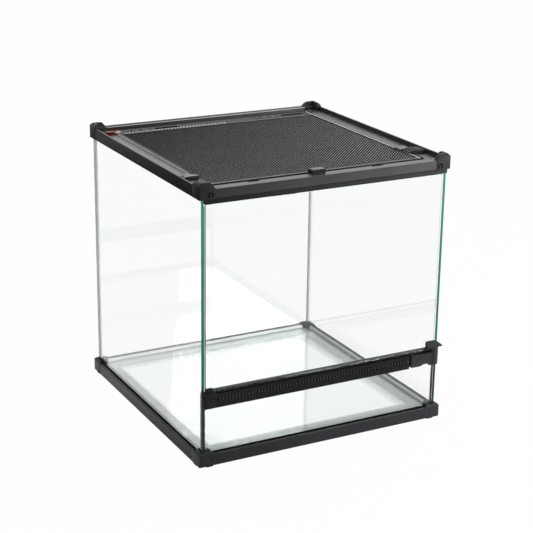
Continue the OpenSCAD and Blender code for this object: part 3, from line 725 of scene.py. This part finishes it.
def coat_with_painted_glint(name, shade, crown):
    """Dark coating with a painted glint on the crowns of the weave: colour = mix (shade, crown)
    with a factor that rises from 0 to 1 between two heights, broken by a fine noise. The painted
    glint grows over the sheet as k = a + b x + c y, held between 0 and 1, and where k falls the
    wires turn to one plain dark tone."""
    mat, tree, shader = blank(name, {"Specular IOR Level": 0.08, "Roughness": 0.42})
    place = object_place(tree)
    split = split_up(tree, place)
    height = line(tree, split["Z"], (sheet_z + glint_start) * mm, (sheet_z + glint_end) * mm)
    patchy = line(tree, noise(tree, place, 35.0), 0.0, 1.0, 0.85, 1.15)
    crown_glint = add_node(tree, "Math", feeds={0: height, 1: patchy}, operation="MULTIPLY")
    across = add_node(tree, "Math", {1: glint_x, 2: glint_middle}, {0: split["X"]},
                      operation="MULTIPLY_ADD")
    glint_share = add_node(tree, "Math", {1: glint_y}, {0: split["Y"], 2: across.outputs[0]},
                    operation="MULTIPLY_ADD", use_clamp=True)
    blend = add_node(tree, "Mix", feeds={"Factor": glint_share.outputs[0]}, data_type="RGBA")
    plain, glint_input = (socket for socket in blend.inputs if socket.type == "RGBA")
    plain.default_value = (0.030, 0.030, 0.031, 1)
    tree.links.new(ramp(tree, crown_glint.outputs[0], (0, shade), (1, crown)), glint_input)
    mixed = next(socket for socket in blend.outputs if socket.type == "RGBA")
    tree.links.new(mixed, shader.inputs["Base Color"])
    return mat


def woven_wires(name, way, mat):
    """Plain weave: wire k lies at v = v_k and passes over and under the crossing wires in turn,
    at a height of (-1)^(j + k) A over crossing j. The section is a square of four sides turned
    on its corner."""
    (u0, u1, pu), (v0, v1, pv) = (weft, warp) if way == "x" else (warp, weft)

    def lines(low, high, pitch):
        """As many places as fit between low and high, a pitch apart and centred."""
        count = int((high - low - 2 * wire_r) / pitch)
        return (low + high) / 2 + (np.arange(count + 1) - count / 2) * pitch

    u, v = np.r_[u0, lines(u0, u1, pu), u1], lines(v0, v1, pv)
    sign = 1 if way == "x" else -1
    lift = wave * sign * (-1.0) ** (np.arange(len(u))[None, :] + np.arange(len(v))[:, None])
    ring = np.array([(wire_r, 0), (0, wire_r), (-wire_r, 0), (0, -wire_r)])
    U = np.broadcast_to(u[None, :, None], (len(v), len(u), 4))
    V = v[:, None, None] + ring[None, None, :, 0] + 0 * U
    Z = sheet_z + lift[:, :, None] + ring[None, None, :, 1]
    points = np.stack([U, V, Z] if way == "x" else [V, U, Z], -1).reshape(-1, 3) * mm
    w, s, c = np.meshgrid(np.arange(len(v)), np.arange(len(u) - 1), np.arange(4), indexing="ij")
    base = (w * len(u) + s) * 4
    quads = np.stack([base + c, base + (c + 1) % 4, base + 4 + (c + 1) % 4, base + 4 + c],
                     -1).reshape(-1, 4)
    first = (np.arange(len(v)) * len(u))[:, None] * 4 + np.arange(4)[None, :]
    last = first + (len(u) - 1) * 4
    piece(name, points, np.concatenate([quads, first, last]).tolist(), [mat], "lid",
          ["lid_mesh"], sharp=100.0)


woven_wires("screen_weft", "x", coat_with_painted_glint("weft_coat", (0.008, 0.008, 0.009), (0.68, 0.68, 0.69)))
woven_wires("screen_warp", "y", coat_with_painted_glint("warp_coat", (0.006, 0.006, 0.007), (0.02, 0.02, 0.02)))

# ---------------------------------------------------------------------------------------------
# Locks, catch and cable ports: small black mouldings that snap into the lid and slide on it.
# The two locks have grey finger tabs, the catch is at the front, and two sliders at the back
# open the ports.
grey_tab = satin_plastic("grey_lock_plastic", (0.24, 0.24, 0.245), 0.38)
left_tab = (-150, -102, 309.2), (-120, -90, 312)
right_tab = (100, -91.99, 300), (145, -70, 320)
lock = eased("lid_lock_left", black_cap, "lock_left", width=0.25)
# The grey goes on the left tab's upward faces only, and its sides keep the black, as painted shade.
lay_on(lock, grey_tab, *left_tab, rise=0.3)
lock = eased("lid_lock_right", black_cap, "lock_right", width=0.25)
lay_on(lock, grey_tab, *right_tab)
# the right lock slides a hair above the lid: its two undersides rise by that much
undersides, hair = (306.9, 307.9), 0.03
spots = np.zeros(3 * len(lock.data.vertices))
lock.data.vertices.foreach_get("co", spots)
spots = spots.reshape(-1, 3)
for underside in undersides:
    spots[np.abs(spots[:, 2] - underside * mm) < 0.01 * mm, 2] += hair * mm
lock.data.vertices.foreach_set("co", spots.ravel())
catch_room = (-20, -160, 305), (20, -120, 320)
# Painted sheen on the catch's level tops.
lay_on(eased("lid_catch", black_cap, "catch"), painted_sheen_ledge, *catch_room, rise=level)
eased("port_slider_left", top_black, "port_left", width=0.25)
eased("port_slider_right", top_black, "port_right", width=0.25)

# ---------------------------------------------------------------------------------------------
# Red mark: a small red insert in two halves, one set in the lid and one in the frame, which
# line up when the lid is shut. The lid's half has a pale front face, a painted highlight, and the
# frame's half a black front face, painted shade.
red_mark = satin_plastic("red_mark_plastic", (0.36, 0.030, 0.022), 0.42)
mark_painted_highlight = satin_plastic("mark_face_painted_highlight", (0.80, 0.78, 0.76), 0.42)
for mark, body, face in (("lid_mark", "lid", mark_painted_highlight), ("frame_mark", "tank", black_cap)):
    obj = eased(mark, red_mark, body, width=0.2)
    low, high = (np.array(corner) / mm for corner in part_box(mark))
    # Front face: a painted highlight on the lid's half, painted shade on the frame's half.
    lay_on(obj, face, (low[0], low[1] - 0.1, low[2]), (high[0], low[1] + 0.1, high[2]))
